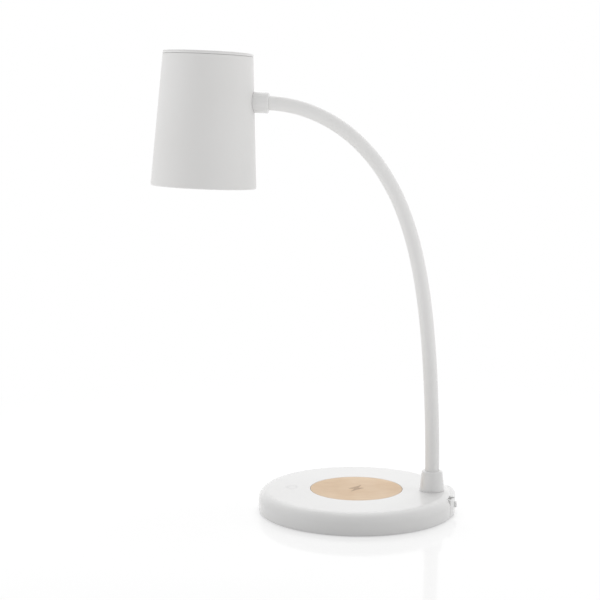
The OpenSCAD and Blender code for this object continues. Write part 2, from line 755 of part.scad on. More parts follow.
module heat_sink() {
    color("lightgray") head() difference() {
        union() {
            translate([0, 0, sink_z]) cylinder(r = sink_r, h = sink_t);
            intersection() {
                translate([0, 0, sink_z + 1]) cylinder(r = fin_r, h = sink_t + fin[1] - 1);
                for (x = [-4 * fin_pitch:fin_pitch:4 * fin_pitch])
                    if (x != cable_drop_x) translate([x - fin[0] / 2, -fin_r, sink_z + 2])
                        cube([fin[0], 2 * fin_r, sink_t + fin[1]]);
            }
        }
        translate([cable_drop_x, 0, sink_z - 1]) cylinder(r = cable_bore_r, h = sink_t + 2);
        for (a = LUG_ANGLES) rotate([0, 0, a]) translate([lug_r, 0, 0])
            cylinder(r = big_screw[0] + hole_gap, h = shade_h);
        for (p = LED_SCREWS) translate([p[0], p[1], 0])
            cylinder(r = small_screw[0] + screw_gap, h = sink_z + 3);
    }
}

module heat_sink_screws() {
    color("silver") head() for (a = LUG_ANGLES) rotate([0, 0, a])
        translate([lug_r, 0, sink_z]) screw(big_screw, sink_screw_l);
}

module led_board() {
    color("whitesmoke") head() difference() {
        translate([0, 0, led_board_z]) cylinder(r = led_board_r, h = led_board_t);
        for (p = LED_SCREWS) translate([p[0], p[1], 0]) cylinder(r = small_screw[0] + hole_gap, h = shade_h);
    }
}

module led_board_screws() {
    color("silver") head() for (p = LED_SCREWS)
        translate([p[0], p[1], led_board_z]) screw(small_screw, led_screw_l);
}

module leds() {
    color("khaki") head() for (row = LED_RINGS) for (i = [0:row[1] - 1]) rotate([0, 0, 360 * i / row[1]])
        translate([row[0] - led[0] / 2, -led[1] / 2, led_board_z - led[2]]) cube(led);
}

module reflector() {
    foot_z = diffuser_z + diffuser_t;
    color("white") head() rotate_extrude() polygon([
        [reflector_top_r, led_board_z],
        [reflector_foot_r, foot_z],
        [reflector_foot_r - reflector_wall, foot_z],
        [reflector_top_r - reflector_wall, led_board_z - 1],
        [led_board_r - 2, led_board_z - 1],
        [led_board_r - 2, led_board_z]]);
}

module diffuser() {
    color("snow") head() translate([0, 0, diffuser_z]) cylinder(r = diffuser_r, h = diffuser_t);
}

module diffuser_ring() {
    wall_gap = shade_wall + fit_gap;
    color("white") head() rotate_extrude() polygon([
        [ring_in_r, ring_z],
        [shade_r(ring_z) - wall_gap, ring_z],
        [shade_r(diffuser_z) - wall_gap, diffuser_z],
        [ring_in_r, diffuser_z]]);
}

base_shell();
wood_inlay();
bottom_cover();
non_slip_pad();
ballast_plate();
cover_screws();
ballast_screws();
charging_coil();
ferrite_sheet();
coil_tray();
tray_screws();
main_board();
board_components();
board_screws();
usb_a_socket();
usb_c_socket();
rear_panel();
push_switch();
power_button();
switch_plunger();
touch_electrode();
stem_collar();
stem_fitting();
stem_washer();
stem_nut();
gooseneck_sleeve();
lamp_cable();
hose_link_0();
hose_link_1();
hose_link_2();
hose_link_3();
hose_link_4();
hose_link_5();
hose_link_6();
hose_link_7();
hose_link_8();
hose_link_9();
neck_ferrule();
neck_nut();
shade();
shade_cap();
heat_sink();
heat_sink_screws();
led_board();
led_board_screws();
leds();
reflector();
diffuser();
diffuser_ring();
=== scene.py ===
import json
import math

import bpy
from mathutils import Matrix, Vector


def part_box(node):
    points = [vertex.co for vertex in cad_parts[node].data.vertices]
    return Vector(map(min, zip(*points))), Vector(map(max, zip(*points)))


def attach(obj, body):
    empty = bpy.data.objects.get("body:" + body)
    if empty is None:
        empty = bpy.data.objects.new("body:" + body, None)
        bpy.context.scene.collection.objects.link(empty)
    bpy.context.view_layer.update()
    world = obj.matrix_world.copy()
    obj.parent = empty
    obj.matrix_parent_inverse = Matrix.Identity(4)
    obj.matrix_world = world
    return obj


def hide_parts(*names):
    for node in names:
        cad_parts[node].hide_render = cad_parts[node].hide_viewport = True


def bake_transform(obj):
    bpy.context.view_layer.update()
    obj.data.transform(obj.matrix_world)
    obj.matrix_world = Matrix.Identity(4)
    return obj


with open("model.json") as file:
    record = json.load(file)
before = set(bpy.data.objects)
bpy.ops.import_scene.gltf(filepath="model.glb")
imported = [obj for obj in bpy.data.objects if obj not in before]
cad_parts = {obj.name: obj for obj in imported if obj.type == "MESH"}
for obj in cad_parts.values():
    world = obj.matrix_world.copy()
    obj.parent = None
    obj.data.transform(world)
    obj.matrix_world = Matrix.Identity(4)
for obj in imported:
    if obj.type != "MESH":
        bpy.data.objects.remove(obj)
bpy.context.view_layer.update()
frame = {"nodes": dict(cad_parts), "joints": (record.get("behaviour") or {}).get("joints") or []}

MM = 0.001
NODES = frame["nodes"]
HINGES = [Vector(j["pos_m"]) for j in frame["joints"] if j["type"] == "hinge"]
LINKS = len(HINGES) + 1

# Floor, in metres: half its width, and where its look near the object starts to fade and has gone
FLOOR_HALF = 6
FLOOR_NEAR = 0.16
FLOOR_FAR = 0.60

# The gooseneck, repeated from the CAD source
SHADE_TILT = math.radians(2.5)
SLEEVE_R = 5.7 * MM
SLEEVE_BORE_R = 4.8 * MM
SLEEVE_IN_COLLAR = 3.9 * MM
SLEEVE_IN_FERRULE = 4 * MM
CABLE_R = 1.7 * MM
CABLE_BEND_R = 12 * MM
CABLE_DROP = 16.9 * MM
CABLE_STRAIGHT = 26.3 * MM
BOARD_TOP = 6.2 * MM

# How finely the gooseneck is drawn: the cable takes every third point of the sleeve's path, and its end
RING_STEP = 1.5 * MM
SLEEVE_SIDES = 48
CABLE_SIDES = 16
CABLE_EVERY = 3
CABLE_BEND_STEPS = 8

# The rear panel, repeated from the CAD source
PANEL_HALF_ANGLE = math.radians(17)
PANEL_IN_R = 76 * MM
PANEL_LIP_R = 76.8 * MM
SKIRT_IN_R = 77.8 * MM
PANEL_BODY_Z = 3.3 * MM
PANEL_EDGE_R = 0.8 * MM

# The drawn panel's closed top, its ends that fade into the rim, and the notch near one of them
PANEL_TOP = 15.3 * MM
PANEL_FADE = math.radians(6)
PANEL_STEPS = 136
PANEL_EDGE_STEPS = 6
NOTCH_FROM = math.radians(-15.5)
NOTCH_TO = math.radians(-9)
NOTCH_WALL_TOP = 14.4 * MM
NOTCH_FLOOR = 12.6 * MM

# Angle between the two sections that make each side of the notch, in radians
NOTCH_SIDE = 1e-5

# Where the top is closed, it lies this little below the outer wall's top
SHELF_STEP = 0.01 * MM

# The drawn panel's openings, cut by bars along X. A full round stops just short of half the bar's width.
SOCKET_GAP = 0.3 * MM
USB_A_CORNER = 0.4 * MM
BUTTON_HOLE_R = 2.8 * MM
CORNER_STEPS = 8
FULL_ROUND = 0.999
CUT_FROM_X = 70 * MM
CUT_TO_X = 85 * MM

# Printed marks: how far they reach into the surface and stand out of it, the corners of one half of the
# bolt from its middle, and the ring's size
MARK_DEPTH = 0.05 * MM
MARK_RISE = 0.03 * MM
BOLT_HALF = ((-4 * MM, -11 * MM), (6.4 * MM, 1.8 * MM), (1.6 * MM, 1.8 * MM))
TOUCH_RING_IN_R = 3.9 * MM
TOUCH_RING_OUT_R = 4.5 * MM

# Contacts of the USB-A socket, on its tongue: how far each is from the socket's middle, and their size
USB_A_OFFSETS = (-3.5 * MM, -1 * MM, 1 * MM, 3.5 * MM)
USB_A_TONGUE_Z = 3.15 * MM
USB_A_STRIP_FRONT = 1.8 * MM
USB_A_STRIP_BACK = 8.5 * MM
USB_A_STRIP_HALF_W = 0.5 * MM
USB_A_STRIP_DEPTH = 0.12 * MM
USB_A_STRIP_RISE = 0.1 * MM

# Contacts of the USB-C socket, on both sides of its tongue
USB_C_PER_SIDE = 12
USB_C_PITCH = 0.5 * MM
USB_C_STRIP_FRONT = 2 * MM
USB_C_STRIP_BACK = 5.2 * MM
USB_C_STRIP_HALF_W = 0.12 * MM
USB_C_STRIP_HALF_T = 0.04 * MM
USB_C_TONGUE_HALF_T = 0.35 * MM


# ---- Camera, lamps, floor and world ----

def aim(thing, target):
    direction = Vector(target) - thing.location
    thing.rotation_euler = direction.to_track_quat("-Z", "Y").to_euler()


def add_camera():
    camera = bpy.data.objects.new("camera", bpy.data.cameras.new("camera"))
    camera.data.sensor_width = 36
    camera.data.lens = 85.2
    camera.location = (0.0432, -1.1371, 0.316)
    camera.rotation_euler = (math.radians(82.84), 0, math.radians(4.5))
    camera.data.clip_start = 0.01
    bpy.context.scene.collection.objects.link(camera)
    bpy.context.scene.camera = camera


def add_lamp(name, location, target, size, power):
    """A soft lamp that doesn't show as a bright patch in glossy surfaces."""
    data = bpy.data.lights.new(name, "AREA")
    data.shape = "RECTANGLE"
    data.size, data.size_y = size
    data.energy = power
    lamp = bpy.data.objects.new(name, data)
    lamp.location = location
    lamp.visible_glossy = False
    aim(lamp, target)
    bpy.context.scene.collection.objects.link(lamp)


def add_lamps():
    add_lamp("back", (0.0, 1.65, 1.8), (0, 0, 0.05), (2.0, 0.8), 22)
    add_lamp("overhead", (0.0, 0.25, 1.7), (0, 0, 0.05), (0.8, 0.8), 4)
    add_lamp("side_left", (-1.3, 0.0, 0.35), (-0.1, 0, 0.2), (0.7, 1.0), 3.2)
    add_lamp("side_right", (1.3, 0.0, 0.35), (0.1, 0, 0.2), (0.7, 1.0), 3.4)


def mix_shaders(tree, share, first, second):
    """The first shader where the share is 0 and the second where it is 1."""
    mix = tree.nodes.new("ShaderNodeMixShader")
    tree.links.new(share, mix.inputs[0])
    tree.links.new(first, mix.inputs[1])
    tree.links.new(second, mix.inputs[2])
    return mix.outputs[0]


def background_node(tree, strength):
    background = tree.nodes.new("ShaderNodeBackground")
    background.inputs["Color"].default_value = (1, 1, 1, 1)
    background.inputs["Strength"].default_value = strength
    return background.outputs[0]


def glow_node(tree, strength):
    emission = tree.nodes.new("ShaderNodeEmission")
    emission.inputs["Strength"].default_value = strength
    return emission.outputs[0]


def matt_node(tree, value):
    matt = tree.nodes.new("ShaderNodeBsdfDiffuse")
    matt.inputs["Color"].default_value = (value, value, value, 1)
    return matt.outputs[0]


def sees_background(tree):
    """1 for camera, glossy and transmission rays, else 0."""
    path = tree.nodes.new("ShaderNodeLightPath")
    total = path.outputs["Is Camera Ray"]
    for ray in ("Is Glossy Ray", "Is Transmission Ray"):
        add = tree.nodes.new("ShaderNodeMath")
        add.operation = "ADD"
        add.use_clamp = True
        tree.links.new(total, add.inputs[0])
        tree.links.new(path.outputs[ray], add.inputs[1])
        total = add.outputs[0]
    return total


def add_world(ambient):
    """White where it is seen, and a dimmer white as light."""
    world = bpy.data.worlds.new("studio")
    bpy.context.scene.world = world
    world.use_nodes = True
    tree = world.node_tree
    tree.nodes.clear()
    dim, white = background_node(tree, ambient), background_node(tree, 1)
    out = tree.nodes.new("ShaderNodeOutputWorld")
    tree.links.new(mix_shaders(tree, sees_background(tree), dim, white), out.inputs["Surface"])


def near_object(tree):
    """1 on the floor round the object and 0 further out."""
    place = tree.nodes.new("ShaderNodeTexCoord")
    distance = tree.nodes.new("ShaderNodeVectorMath")
    distance.operation = "LENGTH"
    tree.links.new(place.outputs["Object"], distance.inputs[0])
    fade = tree.nodes.new("ShaderNodeMapRange")
    fade.interpolation_type = "SMOOTHSTEP"
    fade.inputs["From Min"].default_value = FLOOR_NEAR
    fade.inputs["From Max"].default_value = FLOOR_FAR
    fade.inputs["To Min"].default_value = 1
    fade.inputs["To Max"].default_value = 0
    tree.links.new(distance.outputs["Value"], fade.inputs["Value"])
    return fade.outputs["Result"]


def floor_material(glow, shadow_share, mirror, near_bounce, far_bounce):
    """White glossy table: a plain glow, a share that takes shadows near the object, and a faint mirror.

    The light that it sends up to the object is weaker close by than further out.
    """
    mat = bpy.data.materials.new("floor")
    mat.use_nodes = True
    tree = mat.node_tree
    tree.nodes.clear()
    lit = tree.nodes.new("ShaderNodeAddShader")
    tree.links.new(glow_node(tree, glow), lit.inputs[0])
    tree.links.new(matt_node(tree, shadow_share), lit.inputs[1])
    gloss = tree.nodes.new("ShaderNodeBsdfGlossy")
    gloss.inputs["Roughness"].default_value = 0.07
    table = tree.nodes.new("ShaderNodeMixShader")
    table.inputs[0].default_value = mirror
    tree.links.new(lit.outputs[0], table.inputs[1])
    tree.links.new(gloss.outputs[0], table.inputs[2])
    close = near_object(tree)
    seen = mix_shaders(tree, close, glow_node(tree, 1), table.outputs[0])
    bounce = mix_shaders(tree, close, glow_node(tree, far_bounce), matt_node(tree, near_bounce))
    out = tree.nodes.new("ShaderNodeOutputMaterial")
    tree.links.new(mix_shaders(tree, sees_background(tree), bounce, seen), out.inputs["Surface"])
    return mat


def add_floor():
    half = FLOOR_HALF
    corners = [(-half, -half, 0), (half, -half, 0), (half, half, 0), (-half, half, 0)]
    floor = new_object("floor", corners, [(0, 1, 2, 3)])
    table = floor_material(glow=0.63, shadow_share=0.45, mirror=0.19, near_bounce=0.70, far_bounce=1.15)
    floor.data.materials.append(table)


# ---- Mesh helpers ----

def new_object(name, points, faces, smooth=False):
    mesh = bpy.data.meshes.new(name)
    mesh.from_pydata([tuple(p) for p in points], [], faces)
    mesh.validate()
    mesh.update()
    for polygon in mesh.polygons:
        polygon.use_smooth = smooth
    thing = bpy.data.objects.new(name, mesh)
    bpy.context.scene.collection.objects.link(thing)
    return thing


def mark_sharp(mesh, degrees):
    mesh.set_sharp_from_angle(angle=math.radians(degrees))


def along(heading):
    """Direction of the gooseneck, heading from +Z towards -X."""
    return Vector((-math.sin(heading), 0, math.cos(heading)))


def outward(heading):
    """Direction away from the gooseneck's centre of bend."""
    return Vector((math.cos(heading), 0, math.sin(heading)))


def tube_rings(path, radius, sides):
    """Points of a ring round each (point, heading) of a path."""
    points = []
    for point, heading in path:
        for j in range(sides):
            b = 2 * math.pi * j / sides
            spoke = math.cos(b) * outward(heading) + math.sin(b) * Vector((0, 1, 0))
            points.append(point + radius * spoke)
    return points


def tube(name, path, r_out, r_in, sides):
    """Round tube along a path of (point, heading), solid when r_in is 0."""
    points = tube_rings(path, r_out, sides)
    faces = []
    for i in range(len(path) - 1):
        for j in range(sides):
            a, b = i * sides + j, i * sides + (j + 1) % sides
            faces.append((a, b, b + sides, a + sides))
    last = (len(path) - 1) * sides
    if r_in > 0:
        first_in = len(points)
        points += tube_rings(path, r_in, sides)
        faces += [tuple(first_in + v for v in reversed(f)) for f in faces]
        for j in range(sides):
            m = (j + 1) % sides
            faces.append((m, j, first_in + j, first_in + m))
            faces.append((last + j, last + m, first_in + last + m, first_in + last + j))
    else:
        faces.append(tuple(reversed(range(sides))))
        faces.append(tuple(last + j for j in range(sides)))
    thing = new_object(name, points, faces, smooth=True)
    mark_sharp(thing.data, 50)
    return thing


def annulus(r_in, r_out, z0, z1, sides=96):
    """Points and faces of a flat closed ring about the Z axis."""
    points, faces = [], []
    for radius, z in ((r_in, z0), (r_out, z0), (r_out, z1), (r_in, z1)):
        for j in range(sides):
            b = 2 * math.pi * j / sides
            points.append(Vector((radius * math.cos(b), radius * math.sin(b), z)))
    for loop in range(4):
        here, after = loop * sides, (loop + 1) % 4 * sides
        for j in range(sides):
            m = (j + 1) % sides
            faces.append((here + j, here + m, after + m, after + j))
    return points, faces


def prism(outline, z0, z1):
    """Points and faces of an upright closed prism over an outline that runs anticlockwise."""
    n = len(outline)
    points = [Vector((x, y, z)) for z in (z0, z1) for x, y in outline]
    faces = [tuple(reversed(range(n))), tuple(range(n, 2 * n))]
    faces += [(j, (j + 1) % n, n + (j + 1) % n, n + j) for j in range(n)]
    return points, faces


def block(low, high):
    (x0, y0, z0), (x1, y1, z1) = low, high
    return prism([(x0, y0), (x1, y0), (x1, y1), (x0, y1)], z0, z1)


def join(*parts):
    """One list of points and faces from several."""
    points, faces = [], []
    for more_points, more_faces in parts:
        first = len(points)
        points += more_points
        faces += [tuple(first + v for v in f) for f in more_faces]
    return points, faces


def moved(part, shift):
    points, faces = part
    return [p + Vector(shift) for p in points], faces


def arc_points(centre, radius, first, last, steps):
    """Points of an arc in a plane, angles in degrees."""
    turns = [math.radians(first + (last - first) * i / steps) for i in range(steps + 1)]
    return [(centre[0] + radius * math.cos(t), centre[1] + radius * math.sin(t)) for t in turns]


def cut(piece, tool_part):
    """Takes a closed shape out of a piece for good."""
    tool = new_object("tool", *tool_part)
    taking = piece.modifiers.new("cut", "BOOLEAN")
    taking.operation = "DIFFERENCE"
    taking.solver = "EXACT"
    taking.object = tool
    bpy.context.view_layer.update()
    done = bpy.data.meshes.new_from_object(piece.evaluated_get(bpy.context.evaluated_depsgraph_get()))
    piece.modifiers.clear()
    piece.data = done
    bpy.data.objects.remove(tool)


# ---- Material helpers ----

def new_material(name):
    mat = bpy.data.materials.new(name)
    mat.use_nodes = True
    tree = mat.node_tree
    shader = tree.nodes["Principled BSDF"]
    coords = tree.nodes.new("ShaderNodeTexCoord")
    return mat, tree, shader, coords.outputs["Object"]


def noise_node(tree, where, scale, detail=4, roughness=0.55):
    noise = tree.nodes.new("ShaderNodeTexNoise")
    noise.inputs["Scale"].default_value = scale
    noise.inputs["Detail"].default_value = detail
    noise.inputs["Roughness"].default_value = roughness
    tree.links.new(where, noise.inputs["Vector"])
    return noise.outputs["Fac"]


def stretched(tree, where, scale):
    """The same place with each axis scaled, which draws noise out into lines."""
    stretch = tree.nodes.new("ShaderNodeMapping")
    stretch.inputs["Scale"].default_value = scale
    tree.links.new(where, stretch.inputs["Vector"])
    return stretch.outputs[0]


def ramp_node(tree, factor, stops):
    """Colour ramp from a list of (place, colour)."""
    ramp = tree.nodes.new("ShaderNodeValToRGB")
    while len(ramp.color_ramp.elements) < len(stops):
        ramp.color_ramp.elements.new(0.5)
    for element, (place, colour) in zip(ramp.color_ramp.elements, stops):
        element.position = place
        element.color = (*colour, 1)
    tree.links.new(factor, ramp.inputs["Fac"])
    return ramp.outputs["Color"]


def range_node(tree, factor, low, high):
    """Stretches the middle of a noise's range to run from low to high."""
    span = tree.nodes.new("ShaderNodeMapRange")
    span.inputs["From Min"].default_value = 0.3
    span.inputs["From Max"].default_value = 0.7
    span.inputs["To Min"].default_value = low
    span.inputs["To Max"].default_value = high
    tree.links.new(factor, span.inputs["Value"])
    return span.outputs["Result"]


def bump_node(tree, height, strength, distance):
    bump = tree.nodes.new("ShaderNodeBump")
    bump.inputs["Strength"].default_value = strength
    bump.inputs["Distance"].default_value = distance
    tree.links.new(height, bump.inputs["Height"])
    return bump.outputs["Normal"]


def grey(value, warm=0.0):
    return (value, value * (1 - 0.4 * warm), value * (1 - warm))


def surface(name, dark, light, rough, grain, bump, blotch=14, coat=0.0, sheen=0.0):
    """Moulded surface: a slow change of tone, uneven gloss and a fine grain."""
    mat, tree, shader, where = new_material(name)
    tone = ramp_node(tree, noise_node(tree, where, blotch), [(0.35, dark), (0.65, light)])
    tree.links.new(tone, shader.inputs["Base Color"])
    fine = noise_node(tree, where, grain, detail=3)
    tree.links.new(range_node(tree, fine, *rough), shader.inputs["Roughness"])
    tree.links.new(bump_node(tree, fine, bump, 0.1 * MM), shader.inputs["Normal"])
    if coat:
        shader.inputs["Coat Weight"].default_value = coat
        shader.inputs["Coat Roughness"].default_value = 0.12
    if sheen:
        shader.inputs["Sheen Weight"].default_value = sheen
    return mat


def brushed(name, colour, rough=(0.28, 0.42)):
    """Bright metal with fine lines across Z."""
    mat, tree, shader, where = new_material(name)
    lines = noise_node(tree, stretched(tree, where, (1, 1, 14)), 260, detail=5)
    tone = ramp_node(tree, lines, [(0.3, tuple(0.9 * c for c in colour)), (0.7, colour)])
    tree.links.new(tone, shader.inputs["Base Color"])
    tree.links.new(range_node(tree, lines, *rough), shader.inputs["Roughness"])
    tree.links.new(bump_node(tree, lines, 0.1, 0.05 * MM), shader.inputs["Normal"])
    shader.inputs["Metallic"].default_value = 1
    return mat


def round_edges(mat, radius):
    """Shades the edges of a material as if they were rounded."""
    tree = mat.node_tree
    shader = tree.nodes["Principled BSDF"]
    edges = tree.nodes.new("ShaderNodeBevel")
    edges.samples = 6
    edges.inputs["Radius"].default_value = radius
    tree.links.new(shader.inputs["Normal"].links[0].from_socket, edges.inputs["Normal"])
    tree.links.new(edges.outputs["Normal"], shader.inputs["Normal"])
    return mat


# ---- Materials ----

def gloss_white(name="gloss_white"):
    return surface(name, grey(0.80, 0.01), grey(0.82, 0.01), rough=(0.14, 0.18), grain=500,
                   bump=0.006, coat=0.4)


def panel_white():
    return round_edges(gloss_white("panel_white"), 0.3 * MM)


def shade_white():
    return surface("shade_white", grey(0.765, 0.02), grey(0.78, 0.015), rough=(0.42, 0.50), grain=2600,
                   bump=0.02)


def satin_white():
    return surface("satin_white", grey(0.76, 0.015), grey(0.79, 0.015), rough=(0.50, 0.60), grain=2200,
                   bump=0.1)


def sleeve_white():
    return surface("sleeve_white", grey(0.84, 0.015), grey(0.86, 0.015), rough=(0.46, 0.54), grain=1800,
                   bump=0.012, sheen=0.05)


def button_grey():
    return surface("button_grey", grey(0.85), grey(0.87), rough=(0.36, 0.44), grain=1800, bump=0.1)


def pad_rubber():
    return surface("pad_rubber", grey(0.10), grey(0.13), rough=(0.75, 0.85), grain=1500, bump=0.3)


def cable_rubber():
    return surface("cable_rubber", grey(0.035), grey(0.05), rough=(0.55, 0.65), grain=1500, bump=0.15)


def ferrite():
    return surface("ferrite", grey(0.03), grey(0.045), rough=(0.6, 0.75), grain=1200, bump=0.2)


def dark_plastic():
    return surface("dark_plastic", grey(0.025), grey(0.035), rough=(0.38, 0.5), grain=1500, bump=0.15)


def led_yellow():
    return surface("led_yellow", (0.82, 0.72, 0.18), (0.88, 0.78, 0.24), rough=(0.3, 0.4), grain=1500,
                   bump=0.1)


def mark_brown():
    return surface("mark_brown", (0.42, 0.29, 0.19), (0.50, 0.36, 0.25), rough=(0.5, 0.6), grain=1800,
                   bump=0.1, blotch=400)


def mark_grey():
    return surface("mark_grey", grey(0.60), grey(0.64), rough=(0.4, 0.5), grain=1800, bump=0.05, blotch=200)


def light_wood():
    """Pale wood: fine streaks along X over a soft, slow change of tone."""
    mat, tree, shader, where = new_material("light_wood")
    flecks = noise_node(tree, stretched(tree, where, (0.06, 1, 1)), 1100, detail=5, roughness=0.6)
    clouds = noise_node(tree, where, 40, detail=3, roughness=0.5)
    share = tree.nodes.new("ShaderNodeMath")
    share.operation = "MULTIPLY"
    share.inputs[1].default_value = 0.55
    tree.links.new(flecks, share.inputs[0])
    mix = tree.nodes.new("ShaderNodeMath")
    mix.operation = "MULTIPLY_ADD"
    mix.inputs[1].default_value = 0.45
    tree.links.new(clouds, mix.inputs[0])
    tree.links.new(share.outputs[0], mix.inputs[2])
    tone = ramp_node(tree, mix.outputs[0], [
        (0.34, (0.63, 0.45, 0.29)), (0.50, (0.70, 0.525, 0.365)), (0.66, (0.76, 0.60, 0.44))])
    tree.links.new(tone, shader.inputs["Base Color"])
    tree.links.new(range_node(tree, flecks, 0.48, 0.62), shader.inputs["Roughness"])
    tree.links.new(bump_node(tree, flecks, 0.25, 0.12 * MM), shader.inputs["Normal"])
    return mat


def opal():
    """Milky plastic that lets a little light through."""
    mat, tree, shader, where = new_material("opal")
    cloud = noise_node(tree, where, 60)
    tone = ramp_node(tree, cloud, [(0.35, grey(0.84, 0.02)), (0.65, grey(0.87, 0.02))])
    tree.links.new(tone, shader.inputs["Base Color"])
    fine = noise_node(tree, where, 3000, detail=2)
    tree.links.new(range_node(tree, fine, 0.38, 0.46), shader.inputs["Roughness"])
    tree.links.new(bump_node(tree, fine, 0.06, 0.05 * MM), shader.inputs["Normal"])
    shader.inputs["Transmission Weight"].default_value = 0.12
    return mat


def board_green():
    """Solder mask with a faint pattern of tracks."""
    mat, tree, shader, where = new_material("board_green")
    cells = tree.nodes.new("ShaderNodeTexVoronoi")
    cells.feature = "DISTANCE_TO_EDGE"
    cells.inputs["Scale"].default_value = 260
    tree.links.new(where, cells.inputs["Vector"])
    tone = ramp_node(tree, cells.outputs["Distance"], [
        (0.04, (0.06, 0.28, 0.12)), (0.08, (0.02, 0.15, 0.06))])
    tree.links.new(tone, shader.inputs["Base Color"])
    tree.links.new(range_node(tree, noise_node(tree, where, 900), 0.3, 0.4), shader.inputs["Roughness"])
    return mat


# ---- Looks of the CAD nodes ----

def paint(mat, *names):
    """Gives CAD nodes a material in place of their own."""
    for name in names:
        data = NODES[name].data
        data.materials.clear()
        data.materials.append(mat)


def paint_nodes():
    hose = ["hose_link_%d" % k for k in range(LINKS)]
    steel_parts = ("ballast_plate", "cover_screws", "ballast_screws", "tray_screws", "board_screws",
                   "stem_fitting", "stem_washer", "stem_nut", "neck_nut", "heat_sink_screws",
                   "led_board_screws")
    paint(gloss_white(), "base_shell", "stem_collar", "neck_ferrule")
    paint(satin_white(), "bottom_cover", "coil_tray", "reflector", "diffuser_ring")
    paint(shade_white(), "shade", "shade_cap")
    paint(light_wood(), "wood_inlay")
    paint(pad_rubber(), "non_slip_pad")
    paint(brushed("plated_steel", (0.60, 0.61, 0.63)), *steel_parts)
    paint(brushed("hose_steel", (0.52, 0.53, 0.55), rough=(0.34, 0.48)), *hose)
    paint(brushed("copper", (0.72, 0.40, 0.24)), "charging_coil", "touch_electrode")
    paint(ferrite(), "ferrite_sheet")
    paint(board_green(), "main_board")
    paint(dark_plastic(), "board_components", "push_switch", "switch_plunger")
    paint(brushed("socket_metal", (0.68, 0.69, 0.71), rough=(0.18, 0.28)), "usb_a_socket", "usb_c_socket")
    paint(button_grey(), "power_button")
    paint(brushed("aluminium", (0.75, 0.76, 0.77)), "heat_sink", "led_board")
    paint(led_yellow(), "leds")
    paint(opal(), "diffuser")


def soften(name, width):
    """A fine rounded edge on a CAD node, by modifiers alone."""
    node = NODES[name]
    weld = node.modifiers.new("weld", "WELD")
    weld.merge_threshold = 0.002 * MM
    bevel = node.modifiers.new("bevel", "BEVEL")
    bevel.width = width
    bevel.segments = 2
    bevel.limit_method = "ANGLE"
    bevel.angle_limit = math.radians(35)
    bevel.harden_normals = True


def soften_edges():
    soften("base_shell", 0.12 * MM)
    soften("wood_inlay", 0.3 * MM)
    soften("stem_collar", 0.2 * MM)
    soften("neck_ferrule", 0.2 * MM)
    soften("shade_cap", 0.2 * MM)


# ---- Pieces ----

def dress(piece, mat):
    piece.data.materials.append(mat)


def add_piece(name, part, mat, body):
    piece = new_object(name, *part)
    dress(piece, mat)
    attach(piece, body)
    return piece


# ---- Gooseneck and cable ----

def neck_start():
    low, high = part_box("stem_collar")
    return Vector(((low.x + high.x) / 2, 0, high.z))


def headings():
    """Heading at each end of each link.

    A link is an arc, so its chord points midway between the headings at its ends.
    """
    found = [0.0]
    starts = [neck_start()] + HINGES
    for a, b in zip(starts, starts[1:]):
        chord = b - a
        found.append(2 * math.atan2(-chord.x, chord.z) - found[-1])
    return found + [math.pi / 2 - SHADE_TILT]


class Neck:
    """The gooseneck's centreline as a chain of arcs."""

    def __init__(self):
        self.heading = headings()
        self.start = [neck_start()] + HINGES
        chord = (self.start[1] - self.start[0]).length
        turn = self.heading[1] / 2
        self.length = chord * turn / math.sin(turn)

    def at(self, link, share):
        """(point, heading) on a link, share 0 where it starts and 1 where it ends."""
        h0, h1 = self.heading[link], self.heading[link + 1]
        radius = self.length / (h1 - h0)
        centre = self.start[link] - radius * outward(h0)
        heading = h0 + (h1 - h0) * share
        return centre + radius * outward(heading), heading

    def stretch(self, hinge):
        """Path from the middle of the link before a hinge to the middle of the link after it.

        At the first and the last hinge it takes in the whole of the end link.
        """
        half = round(self.length / RING_STEP / 2)
        start, steps = (0, 2 * half) if hinge == 1 else (0.5, half)
        path = [self.at(hinge - 1, start + (1 - start) * i / steps) for i in range(steps)]
        end, steps = (1, 2 * half) if hinge == LINKS - 1 else (0.5, half)
        return path + [self.at(hinge, end * i / steps) for i in range(steps + 1)]

    def end(self):
        return self.at(LINKS - 1, 1)


def bend_with_neck(piece, neck, hinge):
    """Bakes a stretch's placement into its mesh."""
    middle, heading = neck.at(hinge, 0)
    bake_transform(piece)


def cable_in_head(neck):
    """From the ferrule, a quarter turn down to the LED board's heat sink."""
    point, heading = neck.end()
    corner = point + CABLE_STRAIGHT * along(heading)
    centre = corner - CABLE_BEND_R * outward(heading)
    path = []
    for i in range(CABLE_BEND_STEPS + 1):
        b = math.pi / 2 * i / CABLE_BEND_STEPS
        path.append((centre + CABLE_BEND_R * outward(heading + b), heading + b))
    low, down = path[-1]
    return path + [(low + CABLE_DROP * along(down), down)]


def build_gooseneck():
    neck = Neck()
    sleeve, rubber = sleeve_white(), cable_rubber()
    foot, _ = neck.at(0, 0)
    for hinge in range(1, LINKS):
        path = neck.stretch(hinge)
        sleeve_path, cable_path = list(path), path[:-1:CABLE_EVERY] + [path[-1]]
        if hinge == 1:
            sleeve_path.insert(0, (foot - Vector((0, 0, SLEEVE_IN_COLLAR)), 0.0))
            cable_path.insert(0, (Vector((foot.x, 0, BOARD_TOP)), 0.0))
        if hinge == LINKS - 1:
            point, heading = neck.end()
            sleeve_path.append((point + SLEEVE_IN_FERRULE * along(heading), heading))
            cable_path += cable_in_head(neck)
        piece = tube("sleeve_%d" % hinge, sleeve_path, SLEEVE_R, SLEEVE_BORE_R, SLEEVE_SIDES)
        dress(piece, sleeve)
        bend_with_neck(piece, neck, hinge)
        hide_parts("gooseneck_sleeve")
        piece = tube("cable_%d" % hinge, cable_path, CABLE_R, 0, CABLE_SIDES)
        dress(piece, rubber)
        bend_with_neck(piece, neck, hinge)
        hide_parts("lamp_cable")


# ---- Rear panel ----

